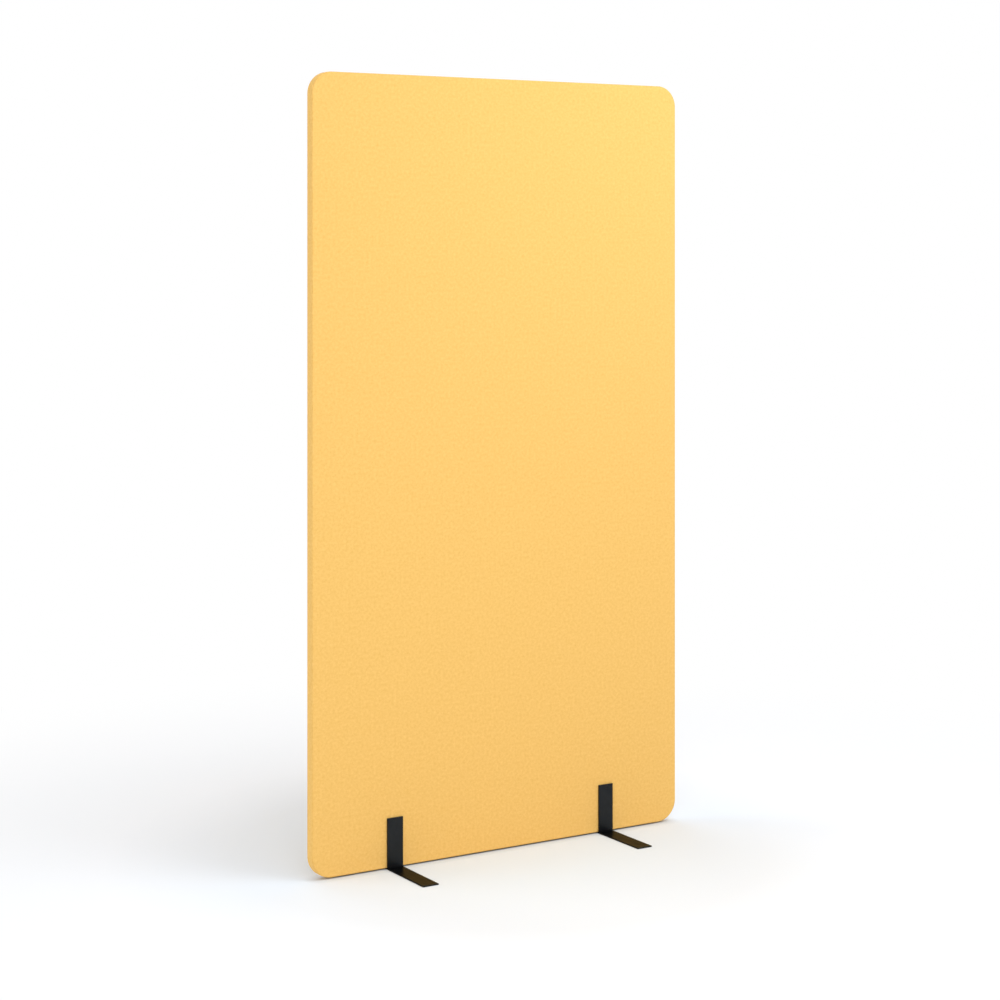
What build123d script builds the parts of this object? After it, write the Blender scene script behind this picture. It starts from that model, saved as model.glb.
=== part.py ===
"""Free-standing acoustic divider screen: an upholstered panel held by two U-shaped steel feet.

Millimetres. +X runs along the panel, +Y to its back and +Z up. The floor is Z = 0, and the origin
lies on it under the middle of the panel.
"""

import os

from build123d import *

# Panel outline
panel_width = 1000.0
panel_height = 1800.0
panel_corner_radius = 50.0
panel_edge_radius = 3.0

# Layers of the panel, from the middle out
frame_thickness = 18.0
padding_thickness = 2.5
cloth_thickness = 1.0

# Clear space between the cloth's rim and what it wraps
wrap_clearance = 0.1

# The front cloth covers the rim and meets the back cloth in a seam this far from the back face
seam_from_back = 4.0

# Wooden frame
rail_width = 60.0
stile_width = 60.0
middle_rail_width = 60.0

# Dowels of the frame joints, two at each joint
dowel_radius = 4.0
dowel_length = 40.0
dowel_spacing = 30.0
dowel_clearance = 0.05
dowel_end_room = 1.0

# Absorber slabs
core_clearance = 0.3

# Blocks above the bottom rail, behind the feet
block_width = 80.0
block_height = 70.0

# Closing strip in the slot of the cloth, and its staples
strip_width = 15.0
strip_end_margin = 20.0
staple_crown = 10.0
staple_wire_width = 1.2
staple_wire_thickness = 0.6
staple_leg = 8.0
staple_pitch = 50.0
staple_end_margin = 15.0

# Feet
foot_end_distance = 210.0
foot_bar_width = 40.0
bar_edge_radius = 0.4
base_length = 354.0
base_thickness = 3.0
upright_height = 113.0
upright_thickness = 4.0

# Tab of each upright in the base, and the weld seams round it
tab_width = 24.0
tab_clearance = 0.1
weld_leg = 1.5

# Countersunk screws, their inserts and their holes
screw_radius = 3.0
screw_length = 16.0
screw_head_radius = 6.0
screw_head_rim = 0.3
screw_clearance = 0.1
screw_spacing = 60.0
screw_end_distance = 20.0
socket_across_flats = 4.0
socket_depth = 2.2
insert_radius = 5.0
insert_length = 12.0
insert_clearance = 0.05
insert_hole_room = 1.0

# How far a cut runs past what it cuts
overrun = 5.0

# Places that follow from the sizes
panel_thickness = frame_thickness + 2 * (padding_thickness + cloth_thickness)
panel_bottom = base_thickness
panel_middle = panel_bottom + panel_height / 2
wrapped_inset = cloth_thickness + wrap_clearance
frame_left = -panel_width / 2 + wrapped_inset
frame_right = -frame_left
frame_low = panel_bottom + wrapped_inset
frame_high = panel_bottom + panel_height - wrapped_inset
field_left = frame_left + stile_width
field_right = -field_left
field_low = frame_low + rail_width
field_high = frame_high - rail_width
middle_rail_low = panel_middle - middle_rail_width / 2
middle_rail_high = panel_middle + middle_rail_width / 2
face_y = panel_thickness / 2
frame_y = frame_thickness / 2
seam_y = face_y - seam_from_back
upright_top = base_thickness + upright_height
screw_heights = [upright_top - screw_end_distance - screw_spacing, upright_top - screw_end_distance]
screw_head_depth = screw_head_rim + screw_head_radius - screw_radius
foot_x = panel_width / 2 - foot_end_distance
foot_sides = {"left": -foot_x, "right": foot_x}

os.makedirs("parts", exist_ok=True)


def write(name, solids):
    """Writes one sub-part, which is a solid or a group of like solids."""
    group = solids if isinstance(solids, list) else [solids]
    shape = group[0] if len(group) == 1 else Compound(children=group)
    shape.label = name
    export_step(shape, f"parts/{name}.step")


def only_solid(shape):
    """The one solid that a step of cuts leaves."""
    return shape.solids().sort_by(SortBy.VOLUME)[-1]


def block(low, high):
    """A box between two corners."""
    size = [b - a for a, b in zip(low, high)]
    place = [(a + b) / 2 for a, b in zip(low, high)]
    return Pos(*place) * Box(*size)


def rounded_plate(inset, half_thickness):
    """The panel's outline, moved in by inset, as a plate either side of the middle plane."""
    width = panel_width - 2 * inset
    height = panel_height - 2 * inset
    outline = RectangleRounded(width, height, panel_corner_radius - inset)
    plate = extrude(Plane.XZ * outline, amount=half_thickness, both=True)
    return Pos(0, 0, panel_middle) * plate


def softened_plate(inset, half_thickness, edge_radius):
    """A rounded plate whose front and back edges are rounded too."""
    plate = rounded_plate(inset, half_thickness)
    rims = plate.edges().group_by(Axis.Y)
    return fillet(rims[0] + rims[-1], edge_radius)


def rod(start, direction, radius, length):
    """A round bar from a point along a direction."""
    plane = Plane(origin=start, z_dir=direction)
    return plane * Cylinder(radius, length, align=(Align.CENTER, Align.CENTER, Align.MIN))


# Frame


def dowel_places():
    """The middle and the direction of each dowel."""
    places = []
    for stile_x in (frame_left + stile_width / 2, frame_right - stile_width / 2):
        for joint_z in (field_low, field_high):
            for shift in (-dowel_spacing / 2, dowel_spacing / 2):
                places.append(((stile_x + shift, 0, joint_z), (0, 0, 1)))
    for joint_x in (field_left, field_right):
        for shift in (-dowel_spacing / 2, dowel_spacing / 2):
            places.append(((joint_x, 0, panel_middle + shift), (1, 0, 0)))
    return places


def dowel_rods(extra_radius, extra_length):
    """All dowels, or their holes when they are made larger."""
    rods = []
    half = dowel_length / 2 + extra_length
    for middle, direction in dowel_places():
        start = [m - half * d for m, d in zip(middle, direction)]
        rods.append(rod(start, direction, dowel_radius + extra_radius, 2 * half))
    return rods


def frame_layer():
    """The rounded outline that all the frame's wood lies in."""
    return rounded_plate(wrapped_inset, frame_y)


def foot_blocks():
    """The blocks that stand on the bottom rail behind the feet."""
    blocks = {}
    for side, x in foot_sides.items():
        low = (x - block_width / 2, -frame_y, field_low)
        high = (x + block_width / 2, frame_y, field_low + block_height)
        blocks[side] = block(low, high)
    return blocks


def frame_woods():
    """Rails and stiles before their holes are drilled."""
    layer = frame_layer()
    full = (frame_left - overrun, frame_right + overrun)
    woods = {
        "top_rail": block((full[0], -frame_y, field_high), (full[1], frame_y, frame_high)),
        "bottom_rail": block((full[0], -frame_y, frame_low), (full[1], frame_y, field_low)),
        "middle_rail": block(
            (field_left, -frame_y, middle_rail_low), (field_right, frame_y, middle_rail_high)
        ),
        "left_stile": block((frame_left, -frame_y, field_low), (field_left, frame_y, field_high)),
        "right_stile": block((field_right, -frame_y, field_low), (frame_right, frame_y, field_high)),
    }
    return {name: only_solid(wood & layer) for name, wood in woods.items()}


# Absorber, wadding and cloth


def core_slab(low_z, high_z):
    """An absorber slab that fills one field of the frame."""
    low = (field_left + core_clearance, -frame_y, low_z + core_clearance)
    high = (field_right - core_clearance, frame_y, high_z - core_clearance)
    return block(low, high)


def lower_core():
    """The lower slab, with notches round the foot blocks."""
    slab = core_slab(field_low, middle_rail_low)
    for x in foot_sides.values():
        reach = block_width / 2 + core_clearance
        low = (x - reach, -frame_y - overrun, field_low - overrun)
        high = (x + reach, frame_y + overrun, field_low + block_height + core_clearance)
        slab = slab - block(low, high)
    return only_solid(slab)


def paddings():
    """Front and back wadding, with edges that round off under the cloth."""
    edge_radius = panel_edge_radius - cloth_thickness
    whole = softened_plate(wrapped_inset, face_y - cloth_thickness, edge_radius)
    sheets = (whole - rounded_plate(-overrun, frame_y)).solids().sort_by(Axis.Y)
    return sheets[0], sheets[-1]


def space_behind(y):
    """All the space behind a plane across the panel."""
    side = panel_width / 2 + overrun
    top = panel_bottom + panel_height + overrun
    return block((-side, y, -overrun), (side, face_y + overrun, top))


def covers():
    """Front and back cloth, a thin shell that is split along the seam on the rim."""
    outer = softened_plate(0, face_y, panel_edge_radius)
    inner_radius = panel_edge_radius - cloth_thickness
    inner = softened_plate(cloth_thickness, face_y - cloth_thickness, inner_radius)
    shell = outer - inner - closing_strip()
    half = strip_half_length()
    tongue = block(
        (-half, strip_width / 2, panel_bottom - overrun),
        (half, face_y, panel_bottom + cloth_thickness),
    )
    back_space = space_behind(seam_y) + tongue
    return only_solid(shell - back_space), only_solid(shell & back_space)


# Closing strip and staples


def strip_half_length():
    return panel_width / 2 - panel_corner_radius - strip_end_margin


def closing_strip():
    """The band that closes the cloth under the bottom rail, level with the cloth."""
    half = strip_half_length()
    low = (-half, -strip_width / 2, panel_bottom)
    high = (half, strip_width / 2, panel_bottom + cloth_thickness)
    return block(low, high)


def staples():
    """Staples in a row, with their backs level with the strip's underside."""
    half_row = strip_half_length() - staple_end_margin
    count = int(2 * half_row // staple_pitch) + 1
    first = -(count - 1) * staple_pitch / 2
    half_wire = staple_wire_width / 2
    back_top = panel_bottom + staple_wire_thickness
    row = []
    for i in range(count):
        left = first + i * staple_pitch - staple_crown / 2
        right = left + staple_crown
        back = block((left, -half_wire, panel_bottom), (right, half_wire, back_top))
        for leg_left in (left, right - staple_wire_thickness):
            low = (leg_left, -half_wire, back_top)
            high = (leg_left + staple_wire_thickness, half_wire, back_top + staple_leg)
            back = back + block(low, high)
        row.append(only_solid(back))
    return row


# Feet


def screw_axes(x):
    """Where each screw of a foot enters the back upright."""
    return [(x, face_y + upright_thickness, z) for z in screw_heights]


def screw_blank(start, extra):
    """A countersunk screw without its socket, or its hole when made larger by extra."""
    plane = Plane(origin=start, z_dir=(0, -1, 0))
    radius = screw_radius + extra
    head = screw_head_radius + extra
    outline = Polyline(
        (0, 0),
        (head, 0),
        (head, screw_head_rim),
        (radius, screw_head_depth),
        (radius, screw_length + extra),
        (0, screw_length + extra),
        close=True,
    )
    return plane * revolve(Plane.XZ * make_face(outline), Axis.Z)


def screw(start):
    """A countersunk screw with a hexagon socket."""
    plane = Plane(origin=start, z_dir=(0, -1, 0))
    hexagon = RegularPolygon(socket_across_flats / 2, 6, major_radius=False)
    socket = plane * extrude(hexagon, amount=socket_depth)
    return only_solid(screw_blank(start, 0) - socket)


def insert_place(start):
    """The mouth of a screw's insert, in the back of the wood."""
    return (start[0], frame_y, start[2])


def insert(start):
    """A threaded insert round a screw's end."""
    mouth = insert_place(start)
    body = rod(mouth, (0, -1, 0), insert_radius, insert_length)
    bore = rod(mouth, (0, -1, 0), screw_radius + insert_clearance, insert_length)
    return only_solid(body - bore)


def insert_hole(start):
    """The hole for an insert and for the end of its screw."""
    depth = insert_length + insert_hole_room
    return rod(insert_place(start), (0, -1, 0), insert_radius + insert_clearance, depth)


def tab_block(x, y, extra):
    """An upright's tab in the base, or its slot when made larger by extra."""
    half_width = tab_width / 2 + extra
    half_thickness = upright_thickness / 2 + extra
    low = (x - half_width, y - half_thickness, 0)
    high = (x + half_width, y + half_thickness, base_thickness)
    return block(low, high)


def weld_seam(x, y, outward):
    """A seam along one long side of a tab, level with the base's underside."""
    tab_face = y + outward * upright_thickness / 2
    points = [
        (tab_face, 0),
        (tab_face + outward * (tab_clearance + weld_leg), 0),
        (tab_face + outward * tab_clearance, weld_leg),
        (tab_face, weld_leg),
    ]
    profile = make_face(Plane.YZ * Polyline(*points, close=True))
    seam = extrude(profile, amount=tab_width / 2, both=True)
    return Pos(x, 0, 0) * only_solid(seam)


def upright(x, facing):
    """A flat bar on a face of the panel; facing is -1 at the front and 1 at the back."""
    near, far = sorted((facing * face_y, facing * (face_y + upright_thickness)))
    bar = block(
        (x - foot_bar_width / 2, near, base_thickness), (x + foot_bar_width / 2, far, upright_top)
    )
    foot_edges = bar.edges().group_by(Axis.Z)[0]
    bar = fillet(bar.edges() - foot_edges, bar_edge_radius)
    return only_solid(bar + tab_block(x, (near + far) / 2, 0))


def foot(side, x):
    """One foot: base, two uprights, weld seams, screws and inserts."""
    tab_y = face_y + upright_thickness / 2
    seams = [weld_seam(x, y, outward) for y in (-tab_y, tab_y) for outward in (-1, 1)]
    base = block(
        (x - foot_bar_width / 2, -base_length / 2, 0),
        (x + foot_bar_width / 2, base_length / 2, base_thickness),
    )
    base = fillet(base.edges(), bar_edge_radius)
    for y in (-tab_y, tab_y):
        base = base - tab_block(x, y, tab_clearance)
    for seam in seams:
        base = base - seam
    back_upright = upright(x, 1)
    for start in screw_axes(x):
        back_upright = back_upright - screw_blank(start, screw_clearance)
    write(f"foot_{side}_base", only_solid(base))
    write(f"foot_{side}_front_upright", upright(x, -1))
    write(f"foot_{side}_back_upright", only_solid(back_upright))
    write(f"foot_{side}_welds", seams)
    write(f"foot_{side}_screws", [screw(start) for start in screw_axes(x)])
    write(f"foot_{side}_inserts", [insert(start) for start in screw_axes(x)])


# The whole screen

starts = [start for x in foot_sides.values() for start in screw_axes(x)]
shank_holes = [screw_blank(start, screw_clearance) for start in starts]
insert_holes = [insert_hole(start) for start in starts]
dowel_holes = dowel_rods(dowel_clearance, dowel_end_room)
staple_row = staples()

for name, wood in frame_woods().items():
    for hole in dowel_holes + insert_holes + staple_row:
        wood = wood - hole
    write(name, only_solid(wood))

for side, wood in foot_blocks().items():
    for hole in insert_holes:
        wood = wood - hole
    write(f"foot_block_{side}", only_solid(wood))

write("frame_dowels", dowel_rods(0, 0))
write("core_upper", core_slab(middle_rail_high, field_high))
write("core_lower", lower_core())

padding_front, padding_back = paddings()
cover_front, cover_back = covers()
for hole in shank_holes:
    padding_back = padding_back - hole
    cover_back = cover_back - hole
write("padding_front", padding_front)
write("padding_back", only_solid(padding_back))
write("cover_front", cover_front)
write("cover_back", only_solid(cover_back))

strip = closing_strip()
for staple in staple_row:
    strip = strip - staple
write("closing_strip", only_solid(strip))
write("strip_staples", staple_row)

for side, x in foot_sides.items():
    foot(side, x)
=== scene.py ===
"""Looks of the free-standing acoustic divider screen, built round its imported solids.

Metres, in the frame of the solids: +X along the panel, +Y to its back and +Z up, with the floor at Z = 0.
"""

import math

import bpy
import numpy as np
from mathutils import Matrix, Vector

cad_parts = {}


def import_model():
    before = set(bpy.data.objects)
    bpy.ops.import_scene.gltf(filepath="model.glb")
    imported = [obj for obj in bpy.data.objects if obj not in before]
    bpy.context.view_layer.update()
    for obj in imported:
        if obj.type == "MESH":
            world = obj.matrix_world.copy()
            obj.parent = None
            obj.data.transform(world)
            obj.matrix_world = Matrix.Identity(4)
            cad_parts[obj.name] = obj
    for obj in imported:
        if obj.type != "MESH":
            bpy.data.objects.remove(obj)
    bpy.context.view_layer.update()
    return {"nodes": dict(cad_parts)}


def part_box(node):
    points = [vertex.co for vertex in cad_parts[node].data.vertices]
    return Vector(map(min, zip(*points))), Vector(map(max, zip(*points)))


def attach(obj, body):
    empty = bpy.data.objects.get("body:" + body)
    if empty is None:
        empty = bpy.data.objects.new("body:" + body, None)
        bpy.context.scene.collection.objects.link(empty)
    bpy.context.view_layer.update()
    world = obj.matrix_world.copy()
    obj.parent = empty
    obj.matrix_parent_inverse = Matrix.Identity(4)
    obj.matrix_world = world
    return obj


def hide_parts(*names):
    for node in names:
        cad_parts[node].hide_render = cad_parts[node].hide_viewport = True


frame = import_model()
solids = frame["nodes"]

# The panel's planes, from the solids
cover_low, cover_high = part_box("cover_front")
strip_low, strip_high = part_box("closing_strip")
rail_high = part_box("top_rail")[1]
panel_half_width = cover_high.x
panel_bottom = cover_low.z
panel_top = cover_high.z
panel_middle = (panel_bottom + panel_top) / 2
face_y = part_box("cover_back")[1].y
seam_y = cover_high.y
frame_y = rail_high.y
cloth_thickness = strip_high.z - strip_low.z
wrapped_inset = panel_half_width - rail_high.x

# The uprights that lie on the front and on the back, by side
upright_boxes = {
    side: [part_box(f"foot_{foot}_{place}_upright") for foot in ("left", "right")]
    for side, place in ((-1, "front"), (1, "back"))
}

# The panel's roundings, as its solids have them, and the middles of its corners
corner_radius = 0.05
edge_radius = 0.003
core_half_width = panel_half_width - corner_radius
core_bottom = panel_bottom + corner_radius
core_top = panel_top - corner_radius

# Steps of the cloth's mesh
coarse_step = 0.012
fine_step = 0.004
corner_steps = 18
edge_steps = 6
rim_steps = 7
seam_steps = 4
face_insets = (0.04, 0.03, 0.021, 0.014, 0.009, 0.006, 0.004)

# How the cloth lies
crown_height = 0.00035
crown_reach = 0.04
press_reach = 0.012
softness = 0.00006
softness_waves = (0.07, 0.25)
softness_count = 14
softness_seed = 5
slot_turn = 0.001
seam_radius = 0.0008

# Stitches in the groove between the cloths
stitch_pitch = 0.004
stitch_reach = 0.0006
stitch_lean = 0.0005
stitch_high = 0.00035
stitch_low = 0.0008
thread_radius = 0.00022
thread_sides = 6

# Wadding under the cloth
wadding_step = 0.03
wadding_insets = (0.03, 0.012, 0.006)
wadding_dip = 0.00015
wadding_waves = (0.05, 0.2)
wadding_count = 12
wadding_seed = 21

# Absorber slabs
slab_step = 0.02
slab_dip = 0.0005
slab_waves = (0.03, 0.12)
slab_count = 12
slab_seed = 31
slab_bevel = 0.0012
slab_bevel_steps = 2
slab_clearance = 0.0003

# Closing band and its dents under the staples
band_step = 0.0025
band_shares = (-0.97, -0.75, -0.45, -0.22, 0, 0.22, 0.45, 0.75, 0.97)
band_round = 0.0002
band_dent = 0.0003
band_pitch = 0.05
dent_reach = 0.009
dent_half_width = 0.0022
band_slack = 0.00012
band_waves = (0.02, 0.06)
band_count = 6
band_seed = 41

# Amount by which a whole number or a direction may be missed through rounding
rounding = 0.001


def smooth(t):
    """An even step from 0 to 1."""
    t = np.clip(t, 0, 1)
    return t * t * (3 - 2 * t)


def ripples(u, v, waves, count, seed):
    """A soft random field of about -1 to 1, made of plane waves of lengths between two limits."""
    chance = np.random.default_rng(seed)
    total = np.zeros(np.shape(u))
    for _ in range(count):
        turn = chance.uniform(0, math.tau)
        length = chance.uniform(*waves)
        phase = chance.uniform(0, math.tau)
        along = u * math.cos(turn) + v * math.sin(turn)
        total = total + np.sin(math.tau * along / length + phase)
    return total / math.sqrt(count)


def zoned(zones):
    """Positions through zones, each with its start, its end and the longest step in it."""
    places = [zones[0][0]]
    for start, end, step in zones:
        count = max(1, math.ceil((end - start) / step - rounding))
        places += [start + (end - start) * (i + 1) / count for i in range(count)]
    return np.array(places)


# Mesh making


def new_piece(name, points, faces, uvs=None):
    """A smooth mesh object from points and faces, with its flat cloth coordinates if it has any."""
    mesh = bpy.data.meshes.new(name)
    mesh.from_pydata([tuple(p) for p in points], [], faces)
    mesh.shade_smooth()
    if uvs is not None:
        corners = np.zeros(len(mesh.loops), np.int32)
        mesh.loops.foreach_get("vertex_index", corners)
        layer = mesh.uv_layers.new(name="cloth")
        layer.data.foreach_set("uv", np.asarray(uvs, np.float32)[corners].ravel())
    piece = bpy.data.objects.new(name, mesh)
    bpy.context.scene.collection.objects.link(piece)
    return piece


def outline_stations(xs, zs):
    """Points of the grid's border and the angle of each one's outward direction, in order round the panel."""
    columns, rows = len(xs), len(zs)
    sides = [
        [(i, 0) for i in range(columns)],
        [(columns - 1, j) for j in range(rows)],
        [(i, rows - 1) for i in reversed(range(columns))],
        [(0, j) for j in reversed(range(rows))],
    ]
    border, angles = [], []
    for side, places in enumerate(sides):
        start = math.pi / 2 * (side - 1)
        border += places
        angles += [start] * len(places)
        for k in range(1, corner_steps):
            border.append(places[-1])
            angles.append(start + math.pi / 2 * k / corner_steps)
    return np.array(border), np.array(angles)


class Plate:
    """A closed skin of two grids, joined by rings that follow the panel's rounded outline."""

    def __init__(self, xs, zs):
        self.xs, self.zs = xs, zs
        self.border, angles = outline_stations(xs, zs)
        self.cores = np.stack([xs[self.border[:, 0]], zs[self.border[:, 1]]], 1)
        self.normals = np.stack([np.cos(angles), np.sin(angles)], 1)
        self.points, self.flats, self.faces = [], [], []

    def grid(self, depth, flip):
        """Adds a grid whose depth is a function of x and z."""
        x, z = np.meshgrid(self.xs, self.zs, indexing="ij")
        start = len(self.points)
        y = depth(x, z) + 0 * x
        self.points += list(np.stack([x, y, z], 2).reshape(-1, 3))
        self.flats += list(np.stack([x, z], 2).reshape(-1, 2))
        rows = len(self.zs)
        for i in range(len(self.xs) - 1):
            for j in range(rows - 1):
                a = start + i * rows + j
                face = (a, a + rows, a + rows + 1, a + 1)
                self.faces.append(face[::-1] if flip else face)
        return start + self.border[:, 0] * rows + self.border[:, 1]

    def ring(self, inset, depth, spread):
        """Adds a ring at an inset and depth. Spread is how far its cloth lies past the outline when flat."""
        inset, depth, spread = (np.broadcast_to(v, len(self.cores)) for v in (inset, depth, spread))
        flat = self.cores + self.normals * (corner_radius - inset)[:, None]
        start = len(self.points)
        self.points += list(np.stack([flat[:, 0], depth, flat[:, 1]], 1))
        self.flats += list(self.cores + self.normals * (corner_radius + spread)[:, None])
        return start + np.arange(len(self.cores))

    def join(self, inner, outer, flip):
        """Faces between two rings, or a grid's border and a ring."""
        count = len(inner)
        for s in range(count):
            t = (s + 1) % count
            around = [inner[s], outer[s], outer[t], inner[t]]
            face = [int(p) for k, p in enumerate(around) if p not in around[:k]]
            self.faces.append(face[::-1] if flip else face)

    def place(self, inset):
        """x and z of a ring's points."""
        flat = self.cores + self.normals * (corner_radius - inset)
        return flat[:, 0], flat[:, 1]


def edge_distance(x, z):
    """How far a point of the face lies inside the panel's outline."""
    across = np.abs(x) - core_half_width
    up = np.abs(z - panel_middle) - (core_top - panel_middle)
    outside = np.hypot(np.maximum(across, 0), np.maximum(up, 0))
    return corner_radius - outside - np.minimum(np.maximum(across, up), 0)


# Cloth covers


def pressed(x, z, side):
    """1 where an upright lies on the cloth, falling to 0 round it."""
    most = np.zeros(np.shape(x))
    for low, high in upright_boxes[side]:
        across = np.maximum(np.maximum(low.x - x, x - high.x), 0)
        up = np.maximum(z - high.z, 0)
        most = np.maximum(most, 1 - smooth(np.hypot(across, up) / press_reach))
    return most


def cover_lift(x, z, side):
    """How far the padded cloth stands proud of its plane."""
    edge = smooth((edge_distance(x, z) - edge_radius) / crown_reach)
    uneven = softness * ripples(x, z, softness_waves, softness_count, softness_seed + side)
    return edge * (crown_height + uneven) * (1 - pressed(x, z, side))


def cover_lines():
    """Grid lines of a cover's face, closer round the uprights and at the ends of the slot."""
    low, high = upright_boxes[-1][1]
    near, far = low.x - press_reach, high.x + press_reach
    slot_end = strip_high.x
    right = [
        (0, near, coarse_step),
        (near, far, fine_step),
        (far, slot_end, coarse_step),
        (slot_end, slot_end + slot_turn, slot_turn),
        (slot_end + slot_turn, core_half_width, coarse_step),
    ]
    left = [(-end, -start, step) for start, end, step in reversed(right)]
    above = high.z + press_reach
    return zoned(left + right), zoned([(core_bottom, above, fine_step), (above, core_top, coarse_step)])


def cover(name, side, slot_side_y):
    """A face cloth wrapped round the panel's edge. Side is -1 in front and 1 behind."""
    xs, zs = cover_lines()
    plate = Plate(xs, zs)
    flip = side > 0
    at_slot = (plate.border[:, 1] == 0) & (plate.normals[:, 1] < rounding - 1)
    at_slot &= np.abs(plate.cores[:, 0]) <= strip_high.x + slot_turn / 2
    rim_end = np.where(at_slot, slot_side_y, seam_y)
    rim_start = side * (face_y - edge_radius)

    def face(depth):
        """The face's depth as a function of x and z."""
        return lambda x, z: side * (depth + cover_lift(x, z, side))

    def skin(shift, radius, steps):
        """Rings over the face, the rounded edge and the rim, for the outer or the inner skin."""
        rings = []
        for inset in face_insets:
            x, z = plate.place(inset)
            rings.append((inset, face(face_y - shift)(x, z), -inset))
        for k in range(steps + 1):
            a = math.pi / 2 * k / steps
            inset = shift + radius * (1 - math.sin(a))
            y = side * (face_y - shift - radius * (1 - math.cos(a)))
            rings.append((inset, y, edge_radius * (a - 1)))
        edge_spread = edge_radius * (math.pi / 2 - 1)
        turn = rim_end + side * seam_radius
        for k in range(1, rim_steps + 1):
            y = rim_start + (turn - rim_start) * k / rim_steps
            rings.append((shift, y, edge_spread + np.abs(y - rim_start)))
        return rings

    outer = skin(0, edge_radius, edge_steps)
    last_spread = outer[-1][2]
    for k in range(1, seam_steps + 1):
        b = math.pi / 2 * k / seam_steps
        y = rim_end + side * seam_radius * (1 - math.sin(b))
        outer.append((seam_radius * (1 - math.cos(b)), y, last_spread + seam_radius * b))
    outer.append((cloth_thickness, rim_end, last_spread + cloth_thickness * 2))
    inner = skin(cloth_thickness, edge_radius - cloth_thickness, edge_steps // 2)

    previous = plate.grid(face(face_y), flip)
    for ring in outer + inner[::-1]:
        placed = plate.ring(*ring)
        plate.join(previous, placed, flip)
        previous = placed
    far = plate.grid(face(face_y - cloth_thickness), not flip)
    plate.join(previous, far, flip)
    return new_piece(name, plate.points, plate.faces, plate.flats)


def seam_line():
    """Points a stitch apart along the seam, each with its outward and its forward direction."""
    upright, level = core_top - core_bottom, 2 * core_half_width
    arc = math.pi / 2 * corner_radius
    bottom_end = core_half_width - strip_high.x
    runs = [bottom_end, arc, upright, arc, level, arc, upright, arc, bottom_end]
    # Each straight run starts at one of these, and each arc turns about the next one
    turns = [(strip_high.x, core_bottom), (core_half_width, core_bottom), (core_half_width, core_top)]
    turns += [(-core_half_width, core_top), (-core_half_width, core_bottom)]
    count = round(sum(runs) / stitch_pitch)
    places = []
    for i in range(count):
        s = (i + 0.5) * sum(runs) / count
        run = 0
        while s > runs[run]:
            s -= runs[run]
            run += 1
        quarter, turning = divmod(run, 2)
        angle = math.pi / 2 * (quarter - 1) + turning * s / corner_radius
        out = Vector((math.cos(angle), 0, math.sin(angle)))
        ahead = Vector((-out.z, 0, out.x))
        x, z = turns[quarter + turning]
        core = Vector((x, 0, z)) + (1 - turning) * s * ahead
        places.append((core + out * corner_radius, out, ahead))
    return places


def stitches():
    """Short bars of thread that cross the groove between the two cloths."""
    route = [
        (-stitch_reach, stitch_low, -stitch_lean),
        (-stitch_reach / 2, stitch_high, -stitch_lean / 2),
        (stitch_reach / 2, stitch_high, stitch_lean / 2),
        (stitch_reach, stitch_low, stitch_lean),
    ]
    points, faces = [], []
    for place, out, ahead in seam_line():
        start = len(points)
        for across, depth, along in route:
            middle = place - out * depth + ahead * along + Vector((0, seam_y + across, 0))
            for k in range(thread_sides):
                a = math.tau * k / thread_sides
                points.append(middle + thread_radius * (math.cos(a) * out + math.sin(a) * ahead))
        last = start + (len(route) - 1) * thread_sides
        for ring in range(start, last, thread_sides):
            for k in range(thread_sides):
                a, b = ring + k, ring + (k + 1) % thread_sides
                faces.append((b, a, a + thread_sides, b + thread_sides))
        faces.append(list(range(start, start + thread_sides)))
        faces.append(list(reversed(range(last, last + thread_sides))))
    return new_piece("seam_stitches", points, faces)


# Wadding, absorber and closing band


def wadding(name, side):
    """A thin fibre sheet between the frame and the cloth, with a slightly uneven face."""
    xs = zoned([(-core_half_width, core_half_width, wadding_step)])
    zs = zoned([(core_bottom, core_top, wadding_step)])
    plate = Plate(xs, zs)
    flip = side > 0
    outer_y = face_y - cloth_thickness
    radius = edge_radius - cloth_thickness

    def face(x, z):
        """The uneven face's depth."""
        uneven = ripples(x, z, wadding_waves, wadding_count, wadding_seed + side) / 2
        return side * (outer_y - np.clip(wadding_dip * (1 + uneven), 0, 2 * wadding_dip))

    rings = [(inset, face(*plate.place(inset))) for inset in wadding_insets]
    for k in range(edge_steps + 1):
        a = math.pi / 2 * k / edge_steps
        inset = wrapped_inset + radius * (1 - math.sin(a))
        rings.append((inset, side * (outer_y - wadding_dip - (radius - wadding_dip) * (1 - math.cos(a)))))
    rings.append((wrapped_inset, side * frame_y))
    previous = plate.grid(face, flip)
    for inset, y in rings:
        placed = plate.ring(inset, y, -inset)
        plate.join(previous, placed, flip)
        previous = placed
    far = plate.grid(lambda x, z: side * frame_y, not flip)
    plate.join(previous, far, flip)
    return new_piece(name, plate.points, plate.faces)


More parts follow.
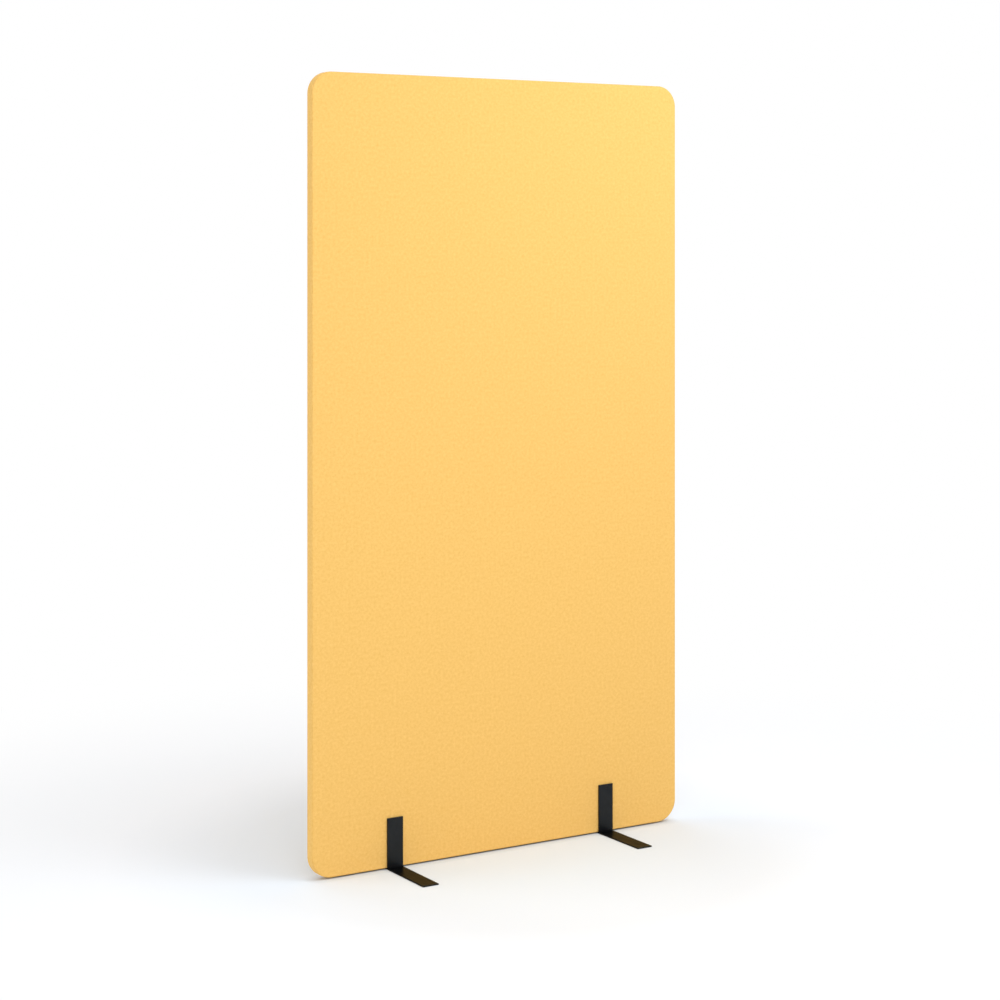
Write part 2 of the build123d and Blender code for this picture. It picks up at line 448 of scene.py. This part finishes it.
def slab(name, node, notches):
    """An absorber slab with soft faces, less the notches given as boxes."""
    low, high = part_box(node)
    x_marks = {low.x, high.x}
    z_marks = {low.z, high.z}
    for notch_low, notch_high in notches:
        x_marks |= {notch_low.x - slab_clearance, notch_high.x + slab_clearance}
        z_marks.add(notch_high.z + slab_clearance)
    x_stops, z_stops = sorted(x_marks), sorted(z_marks)
    xs = zoned([(a, b, slab_step) for a, b in zip(x_stops, x_stops[1:])])
    zs = zoned([(a, b, slab_step) for a, b in zip(z_stops, z_stops[1:])])

    def solid(i, j):
        """Whether a cell of the grid lies in the slab."""
        if not (0 <= i < len(xs) - 1 and 0 <= j < len(zs) - 1):
            return False
        x, z = (xs[i] + xs[i + 1]) / 2, (zs[j] + zs[j + 1]) / 2
        return not any(a.x < x < b.x and z < b.z for a, b in notches)

    x, z = np.meshgrid(xs, zs, indexing="ij")
    points, starts = [], []
    for side in (-1, 1):
        uneven = ripples(x, z, slab_waves, slab_count, slab_seed + side)
        y = side * (high.y - np.clip(slab_dip * (1 + uneven) / 2, 0, slab_dip))
        starts.append(len(points))
        points += list(np.stack([x, y, z], 2).reshape(-1, 3))
    rows, faces = len(zs), []
    for i in range(len(xs) - 1):
        for j in range(rows - 1):
            if not solid(i, j):
                continue
            around = [i * rows + j, (i + 1) * rows + j, (i + 1) * rows + j + 1, i * rows + j + 1]
            faces.append([starts[0] + p for p in around])
            faces.append([starts[1] + p for p in reversed(around)])
            beside = [(i, j - 1), (i + 1, j), (i, j + 1), (i - 1, j)]
            for k, neighbour in enumerate(beside):
                if not solid(*neighbour):
                    a, b = around[k], around[(k + 1) % len(around)]
                    faces.append((starts[0] + b, starts[0] + a, starts[1] + a, starts[1] + b))
    used = sorted({p for face in faces for p in face})
    moved = {p: k for k, p in enumerate(used)}
    piece = new_piece(name, [points[p] for p in used], [[moved[p] for p in face] for face in faces])
    soften = piece.modifiers.new("soften", "BEVEL")
    soften.width = slab_bevel
    soften.segments = slab_bevel_steps
    soften.limit_method = "ANGLE"
    return piece


def staple_places():
    """X of the middle of each staple, from the staples' own mesh."""
    crowns = {}
    for v in solids["strip_staples"].data.vertices:
        crowns.setdefault(round(v.co.x / band_pitch), []).append(v.co.x)
    return [(min(xs) + max(xs)) / 2 for xs in crowns.values()]


def closing_band():
    """The woven band under the bottom rail, drawn in by each staple and a little slack between them."""
    half, edge = strip_high.x, strip_high.y
    stops = zoned([(-half, half, band_step)])
    middles = np.array(staple_places())
    points, faces = [], []
    for x in stops:
        near = float(np.min(np.abs(middles - x)))
        pull = 1 - smooth(near / dent_reach)
        drift = band_slack * float(ripples(x, 0, band_waves, band_count, band_seed))
        under, over = [], []
        for share in band_shares:
            y = share * edge
            press = pull * (1 - smooth(abs(y) / dent_half_width - 1))
            sag = band_slack * (1 - pull) * (1 - share * share)
            wave = drift * abs(share) * (1 - abs(share)) * 2
            under.append((x, y, strip_low.z + band_dent * press - sag + wave))
            over.append((x, y, strip_high.z))
        left = (x, -edge, strip_low.z + band_round), (x, -edge, strip_high.z - band_round)
        right = (x, edge, strip_low.z + band_round), (x, edge, strip_high.z - band_round)
        points += under + list(right) + over[::-1] + list(left[::-1])
    around = len(points) // len(stops)
    last = len(points) - around
    for start in range(0, last, around):
        for k in range(around):
            a, b = start + k, start + (k + 1) % around
            faces.append((a, b, b + around, a + around))
    faces.append(list(reversed(range(around))))
    faces.append(list(range(last, last + around)))
    return new_piece("closing_band", points, faces)


front_cover = cover("front_cover", -1, strip_low.y)
back_cover = cover("back_cover", 1, strip_high.y)
seam_stitches = stitches()
front_wadding = wadding("front_wadding", -1)
back_wadding = wadding("back_wadding", 1)
blocks = [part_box("foot_block_left"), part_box("foot_block_right")]
upper_absorber = slab("upper_absorber", "core_upper", [])
lower_absorber = slab("lower_absorber", "core_lower", blocks)
closing_band_piece = closing_band()


# Shader nodes

# Most values of a noise lie between these
noise_low = 0.3
noise_high = 0.7

# Length after which a wave texture repeats at a scale of 1
wave_period = math.tau / 20

white = (1, 1, 1, 1)


def add(tree, kind, *values, into=None, **settings):
    """Adds a shader node. Values go to its first sockets, into to named ones, settings to its properties."""
    made = tree.nodes.new("ShaderNode" + kind)
    for key, value in settings.items():
        setattr(made, key, value)
    named = [(made.inputs[key], value) for key, value in (into or {}).items()]
    for socket, value in [*zip(made.inputs, values), *named]:
        if isinstance(value, bpy.types.NodeSocket):
            tree.links.new(value, socket)
        else:
            socket.default_value = value
    return made


def new_material(name, constants):
    """An empty material, its node tree and its main shader, which has the same constants all over."""
    material = bpy.data.materials.new(name)
    material.use_nodes = True
    tree = material.node_tree
    tree.nodes.clear()
    shader = add(tree, "BsdfPrincipled", into=constants)
    add(tree, "OutputMaterial", shader.outputs[0])
    return material, tree, shader


def finish_surface(tree, shader, colour, rough, height, depth):
    """Gives the main shader its colour, its roughness and a bump that is so deep."""
    bump = add(tree, "Bump", into={"Height": height, "Distance": depth, "Strength": 1})
    tree.links.new(colour, shader.inputs["Base Color"])
    tree.links.new(rough, shader.inputs["Roughness"])
    tree.links.new(bump.outputs[0], shader.inputs["Normal"])


def object_place(tree):
    """The place on the object itself."""
    return add(tree, "TexCoord").outputs["Object"]


def ramp(tree, factor, stops):
    """A colour that follows a number between 0 and 1; each stop has a place and a colour."""
    made = add(tree, "ValToRGB", factor)
    elements = made.color_ramp.elements
    while len(elements) < len(stops):
        elements.new(0.5)
    for element, (place, colour) in zip(elements, stops):
        element.position = place
        element.color = (*colour, 1)
    return made.outputs[0]


def shade(colour, share):
    """A colour made lighter or darker by a share."""
    return tuple(min(1.0, c * share) for c in colour)


def two_tone(tree, noise, colour, darker, lighter):
    """A colour that goes from a darker to a lighter share of itself with a noise."""
    return ramp(tree, noise, [(noise_low, shade(colour, darker)), (noise_high, shade(colour, lighter))])


def grain(tree, place, size, detail, roughness):
    """Soft noise with lumps of a size."""
    settings = {"Vector": place, "Scale": 1 / size, "Detail": detail, "Roughness": roughness}
    return add(tree, "TexNoise", into=settings).outputs["Fac"]


def ranged(tree, value, low, high, new_low, new_high):
    """A number moved from one range to another."""
    return add(tree, "MapRange", value, low, high, new_low, new_high).outputs[0]


def over_noise(tree, noise, new_low, new_high):
    """A number that goes through a range with a noise."""
    return ranged(tree, noise, noise_low, noise_high, new_low, new_high)


# Cover cloth

dark_yarn = (0.84, 0.485, 0.104)
light_yarn = (0.99, 0.638, 0.214)
melange_size = 0.0065
melange_low = 0.25
melange_high = 0.75
fibre_size = 0.0007
fibre_share = 0.6
yarn_pitch = 0.0009
yarn_wander = 0.0004
wander_size = 0.006
weave_height = 0.00012
cloth_roughness = (0.85, 0.95)
cloth_finish = {
    "Specular IOR Level": 0.25,
    "Sheen Weight": 0.12,
    "Sheen Roughness": 0.5,
    "Sheen Tint": (1, 0.8, 0.45, 1),
}


def weave(tree, place, pitch):
    """Height of a plain weave with uneven yarns, from 0 to 1."""
    wander = add(tree, "TexNoise", into={"Vector": place, "Scale": 1 / wander_size, "Detail": 2})
    centred = add(tree, "VectorMath", wander.outputs["Color"], (0.5, 0.5, 0.5), operation="SUBTRACT")
    shift = add(tree, "VectorMath", centred.outputs[0], operation="SCALE", into={"Scale": yarn_wander})
    moved = add(tree, "VectorMath", place, shift.outputs[0], operation="ADD").outputs[0]
    sides = []
    for direction in ("X", "Y"):
        settings = {"Vector": moved, "Scale": wave_period / (2 * pitch), "Distortion": 0}
        wave = add(tree, "TexWave", bands_direction=direction, into=settings)
        sides.append(ranged(tree, wave.outputs["Fac"], 0, 1, -1, 1))
    product = add(tree, "Math", *sides, operation="MULTIPLY").outputs[0]
    return ranged(tree, product, -1, 1, 0, 1)


def cloth_material():
    """Fine wool-like cloth: a close weave under a felted nap, with slightly mixed yarns."""
    material, tree, shader = new_material("cover_cloth", cloth_finish)
    place = add(tree, "UVMap", uv_map="cloth").outputs[0]
    melange = grain(tree, place, melange_size, detail=6, roughness=0.75)
    colour = ramp(tree, melange, [(melange_low, dark_yarn), (melange_high, light_yarn)])
    fibres = grain(tree, place, fibre_size, detail=3, roughness=0.6)
    yarns = weave(tree, place, yarn_pitch)
    height = add(tree, "Math", fibres, fibre_share, yarns, operation="MULTIPLY_ADD").outputs[0]
    rough = over_noise(tree, fibres, *cloth_roughness)
    finish_surface(tree, shader, colour, rough, height, weave_height)
    return material


# Black paint

paint_colour = (0.025, 0.027, 0.029)
screw_colour = (0.06, 0.06, 0.063)
coat_edge = 0.56
peel_height = 0.00004
smudge_size = 0.03
smudge_tones = (0.9, 1.12)
smudge_roughness = (-0.04, 0.05)
rub_width = 0.0006
rub_samples = 6
rub_from = 0.98
rub_full = 0.85
rub_patches = (0.4, 0.65, 0.2, 1)
rub_lightness = 2.5
rub_polish = 0.12
paint_finish = {"Metallic": 1, "Specular Tint": (coat_edge, coat_edge, coat_edge, 1)}


def rubbed(tree, patches):
    """1 on sharp edges where a patchy number is high, 0 on flat faces."""
    rounded = add(tree, "Bevel", samples=rub_samples, into={"Radius": rub_width}).outputs[0]
    flat = add(tree, "NewGeometry").outputs["Normal"]
    same = add(tree, "VectorMath", rounded, flat, operation="DOT_PRODUCT").outputs["Value"]
    edge = ranged(tree, same, rub_from, rub_full, 0, 1)
    patchy = ranged(tree, patches, *rub_patches)
    return add(tree, "Math", edge, patchy, operation="MULTIPLY").outputs[0]


def paint_material(name, colour, roughness, peel):
    """Black satin coat whose light is nearly all sheen, with a fine orange peel and slightly rubbed edges."""
    material, tree, shader = new_material(name, paint_finish)
    place = object_place(tree)
    lumps = grain(tree, place, peel, detail=3, roughness=0.5)
    smudges = grain(tree, place, smudge_size, detail=4, roughness=0.6)
    edges = rubbed(tree, smudges)
    plain = two_tone(tree, smudges, colour, *smudge_tones)
    worn = add(tree, "VectorMath", shade(colour, rub_lightness), operation="SCALE", into={"Scale": edges})
    colour_out = add(tree, "VectorMath", plain, worn.outputs[0], operation="ADD").outputs[0]
    rough_out = over_noise(tree, smudges, *(roughness + change for change in smudge_roughness))
    rough = add(tree, "Math", edges, -rub_polish, rough_out, operation="MULTIPLY_ADD").outputs[0]
    finish_surface(tree, shader, colour_out, rough, lumps, peel_height)
    return material


# Wadding and absorber

wadding_colour = (0.85, 0.85, 0.83)
absorber_colour = (0.55, 0.53, 0.47)
fibre_roughness = (0.88, 0.98)
fibre_finish = {"Specular IOR Level": 0.2, "Sheen Weight": 0.2}


def fibre_material(name, colour, lump, fibre, height, spread):
    """Matted fibres: wadding or absorber felt, with lighter and darker flocks."""
    material, tree, shader = new_material(name, fibre_finish)
    place = object_place(tree)
    flocks = grain(tree, place, lump, detail=5, roughness=0.7)
    threads = grain(tree, place, fibre, detail=4, roughness=0.7)
    colour_out = two_tone(tree, flocks, colour, 1 - spread, 1 + spread)
    height_out = add(tree, "Math", flocks, threads, operation="ADD").outputs[0]
    rough = over_noise(tree, threads, *fibre_roughness)
    finish_surface(tree, shader, colour_out, rough, height_out, height)
    return material


# Closing band

band_colour = (0.03, 0.03, 0.032)
band_tones = (0.8, 1.25)
band_mix_size = 0.002
twill_pitch = 0.0012
twill_height = 0.00012
twill_roughness = (0.7, 0.85)


def band_material():
    """Black polyester band with a fine twill."""
    material, tree, shader = new_material("strip_cloth", {})
    place = object_place(tree)
    settings = {"Vector": place, "Scale": wave_period / twill_pitch}
    twill = add(tree, "TexWave", bands_direction="DIAGONAL", into=settings).outputs["Fac"]
    mix = grain(tree, place, band_mix_size, detail=4, roughness=0.6)
    colour = two_tone(tree, mix, band_colour, *band_tones)
    rough = ranged(tree, twill, 0, 1, *twill_roughness)
    finish_surface(tree, shader, colour, rough, twill, twill_height)
    return material


# Wood

wood_colour = (0.6, 0.45, 0.28)
dowel_colour = (0.65, 0.5, 0.33)
knot_size = 0.09
knot_shift = 0.004
ring_size = 0.006
ring_tones = (0.78, 1.16)
pore_size = 0.0012
pore_height = 0.00006
pore_stops = [(0.35, (0.82, 0.78, 0.72)), (0.6, (1, 1, 1))]
pore_roughness = (0.62, 0.5)
grain_along_x = (0.05, 1, 1)
grain_along_z = (1, 1, 0.05)


def wood_material(name, colour, stretch):
    """Planed softwood whose grain runs along the axis that stretch makes small."""
    material, tree, shader = new_material(name, {})
    place = object_place(tree)
    wander = add(tree, "TexNoise", into={"Vector": place, "Scale": 1 / knot_size, "Detail": 2})
    shift = add(tree, "VectorMath", wander.outputs["Color"], operation="SCALE", into={"Scale": knot_shift})
    moved = add(tree, "VectorMath", place, shift.outputs[0], operation="ADD").outputs[0]
    along = add(tree, "VectorMath", moved, stretch, operation="MULTIPLY").outputs[0]
    rings = grain(tree, along, ring_size, detail=3, roughness=0.5)
    pores = grain(tree, along, pore_size, detail=4, roughness=0.7)
    dark, light = (shade(colour, tone) for tone in ring_tones)
    middle = (noise_low + noise_high) / 2
    base = ramp(tree, rings, [(noise_low, dark), (middle, colour), (noise_high, light)])
    mixed = add(tree, "VectorMath", base, ramp(tree, pores, pore_stops), operation="MULTIPLY").outputs[0]
    rough = over_noise(tree, pores, *pore_roughness)
    finish_surface(tree, shader, mixed, rough, pores, pore_height)
    return material


# Bright steel

steel_dark = (0.52, 0.51, 0.5)
steel_light = (0.7, 0.69, 0.67)
steel_patch_size = 0.003
steel_mark_size = 0.0004
steel_mark_height = 0.00001
steel_roughness = (0.3, 0.45)


def steel_material():
    """Bright zinc-coated steel with fine drawing marks and dull patches."""
    material, tree, shader = new_material("bright_steel", {"Metallic": 1})
    place = object_place(tree)
    patches = grain(tree, place, steel_patch_size, detail=4, roughness=0.6)
    marks = grain(tree, place, steel_mark_size, detail=3, roughness=0.6)
    colour = ramp(tree, patches, [(noise_low, steel_dark), (noise_high, steel_light)])
    rough = over_noise(tree, patches, *steel_roughness)
    finish_surface(tree, shader, colour, rough, marks, steel_mark_height)
    return material


cover_cloth = cloth_material()
strip_cloth = band_material()
wadding_fibre = fibre_material(
    "wadding", wadding_colour, lump=0.012, fibre=0.0012, height=0.0004, spread=0.05
)
absorber_fibre = fibre_material(
    "absorber", absorber_colour, lump=0.02, fibre=0.002, height=0.0006, spread=0.12
)
rail_wood = wood_material("rail_wood", wood_colour, grain_along_x)
stile_wood = wood_material("stile_wood", wood_colour, grain_along_z)
dowel_wood = wood_material("dowel_wood", dowel_colour, grain_along_z)
foot_paint = paint_material("foot_paint", paint_colour, roughness=0.31, peel=0.0009)
screw_black = paint_material("screw_black", screw_colour, roughness=0.24, peel=0.0005)
bright_steel = steel_material()


# Pieces on the body


def dress(piece, material):
    """Gives a piece its only material."""
    piece.data.materials.clear()
    piece.data.materials.append(material)


def stand_in(piece, node, material):
    """A piece that is shown in a solid's place."""
    dress(piece, material)
    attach(piece, "root")
    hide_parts(node)


stand_in(front_cover, "cover_front", cover_cloth)
stand_in(back_cover, "cover_back", cover_cloth)
stand_in(closing_band_piece, "closing_strip", strip_cloth)
stand_in(front_wadding, "padding_front", wadding_fibre)
stand_in(back_wadding, "padding_back", wadding_fibre)
stand_in(upper_absorber, "core_upper", absorber_fibre)
stand_in(lower_absorber, "core_lower", absorber_fibre)
dress(seam_stitches, cover_cloth)
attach(seam_stitches, "root")

solid_materials = {
    "top_rail": rail_wood,
    "bottom_rail": rail_wood,
    "middle_rail": rail_wood,
    "left_stile": stile_wood,
    "right_stile": stile_wood,
    "foot_block_left": rail_wood,
    "foot_block_right": rail_wood,
    "frame_dowels": dowel_wood,
    "strip_staples": bright_steel,
}
for side in ("left", "right"):
    for part in ("base", "front_upright", "back_upright", "welds"):
        solid_materials[f"foot_{side}_{part}"] = foot_paint
    solid_materials[f"foot_{side}_screws"] = screw_black
    solid_materials[f"foot_{side}_inserts"] = bright_steel
for node, material in solid_materials.items():
    dress(solids[node], material)


# Floor, backdrop, light and camera

floor_half = 40.0
# Colours that the floor shows at distances from the origin, in metres: darker and bluer near the screen, a
# painted shade that deepens its shadow there and cancels the yellow light the screen bounces onto it
floor_shown_painted_shade = [(0.27, (0.815, 0.9, 0.99)), (0.62, (0.84, 0.885, 0.94)), (0.92, (0.93, 0.955, 1.0))]
# Colour by which it lights the screen
floor_lit = (0.8, 0.8, 0.8)
# Distances between which it fades to white
white_from = 0.35
white_to = 2.15
# How far from the screen a painted contact shadow darkens the floor's seen colour, and by what share at most
painted_contact_reach = 0.03
painted_contact_shade = 0.33

world_strength = 0.3
lamp_target = Vector((0, 0, 0.9))
lamp_size = 1.4

camera_place = (-2.7467, -4.4114, 1.4259)
camera_turn = -31.905
camera_focal = 79.79
camera_sensor = 36.0
camera_shift = -0.2597


def seen(tree):
    """1 for rays that show the scene or mirror it, 0 for those that light it."""
    path = add(tree, "LightPath").outputs
    first = add(tree, "Math", path["Is Camera Ray"], path["Is Glossy Ray"], operation="MAXIMUM")
    both = add(tree, "Math", first.outputs[0], path["Is Transmission Ray"], operation="MAXIMUM")
    return both.outputs[0]


def floor():
    """A pale floor that fades to plain white away from the screen, with painted shade near it: a darker,
    bluer colour close by and a painted contact shadow where the screen comes close.
    """
    ends = (-floor_half, floor_half)
    plane = new_piece("floor", [(x, y, 0) for x in ends for y in ends], [(0, 2, 3, 1)])
    material = bpy.data.materials.new("floor")
    material.use_nodes = True
    tree = material.node_tree
    tree.nodes.clear()
    shown = seen(tree)
    away = add(tree, "VectorMath", object_place(tree), operation="LENGTH").outputs["Value"]
    # Painted contact shadow: the seen colour darkens where the screen comes close, by ambient occlusion
    openness = add(tree, "AmbientOcclusion", into={"Distance": painted_contact_reach}).outputs["AO"]
    painted_contact_shadow = ranged(tree, openness, 0, 1, 1 - painted_contact_shade, 1)
    # Painted shade: the seen colour is darker and bluer near the screen
    painted_shade_ramp = ramp(tree, away, floor_shown_painted_shade)
    painted_shade_colour = add(tree, "VectorMath", painted_shade_ramp, operation="SCALE", into={"Scale": painted_contact_shadow}).outputs[0]
    colour = add(tree, "MixRGB", shown, (*floor_lit, 1), painted_shade_colour)
    near = add(tree, "BsdfDiffuse", colour.outputs[0])
    far = add(tree, "Emission", white, 1)
    fade = add(tree, "MapRange", away, white_from, white_to, 0, 1, interpolation_type="SMOOTHSTEP")
    factor = add(tree, "Math", fade.outputs[0], shown, operation="MULTIPLY")
    mixed = add(tree, "MixShader", factor.outputs[0], near.outputs[0], far.outputs[0])
    add(tree, "OutputMaterial", mixed.outputs[0])
    dress(plane, material)


def world():
    """Even light from all round that shows as white."""
    made = bpy.data.worlds.new("world")
    bpy.context.scene.world = made
    made.use_nodes = True
    tree = made.node_tree
    tree.nodes.clear()
    light = add(tree, "Background", white, world_strength)
    backdrop = add(tree, "Background", white, 1)
    mixed = add(tree, "MixShader", seen(tree), light.outputs[0], backdrop.outputs[0])
    add(tree, "OutputWorld", mixed.outputs[0])


def aimed(made, place, target):
    """Puts a lamp in the scene, turned to a point."""
    bpy.context.scene.collection.objects.link(made)
    made.location = place
    made.rotation_euler = (Vector(target) - Vector(place)).to_track_quat("-Z", "Y").to_euler()


def from_side(azimuth, elevation):
    """The direction towards a lamp. Azimuth 0 is in front, 90 on the right; both are in degrees."""
    a, e = math.radians(azimuth), math.radians(elevation)
    return Vector((math.sin(a) * math.cos(e), -math.cos(a) * math.cos(e), math.sin(e)))


def area_lamp(name, azimuth, elevation, distance, power):
    """A soft square lamp aimed at the middle of the panel."""
    lamp = bpy.data.lights.new(name, "AREA")
    lamp.size = lamp_size
    lamp.energy = power
    place = lamp_target + distance * from_side(azimuth, elevation)
    aimed(bpy.data.objects.new(name, lamp), place, lamp_target)


def sun_lamp(name, azimuth, elevation, width, strength):
    """Broad even light from one side."""
    lamp = bpy.data.lights.new(name, "SUN")
    lamp.angle = math.radians(width)
    lamp.energy = strength
    aimed(bpy.data.objects.new(name, lamp), from_side(azimuth, elevation), (0, 0, 0))


def camera():
    """The camera at the photograph's place, level and turned to the right."""
    lens = bpy.data.cameras.new("camera")
    lens.sensor_width = camera_sensor
    lens.lens = camera_focal
    lens.shift_y = camera_shift
    made = bpy.data.objects.new("camera", lens)
    bpy.context.scene.collection.objects.link(made)
    made.location = camera_place
    made.rotation_euler = (math.pi / 2, 0, math.radians(camera_turn))
    bpy.context.scene.camera = made


floor()
world()
area_lamp("above_right", azimuth=30, elevation=40, distance=2.2, power=16.3)
area_lamp("low_left", azimuth=-30, elevation=15, distance=3.5, power=23.9)
sun_lamp("right", azimuth=45, elevation=60, width=100, strength=1.42)
sun_lamp("left_behind", azimuth=-120, elevation=20, width=40, strength=1.0)
sun_lamp("behind", azimuth=180, elevation=45, width=40, strength=0.454)
camera()
bpy.context.scene.view_settings.view_transform = "Standard"
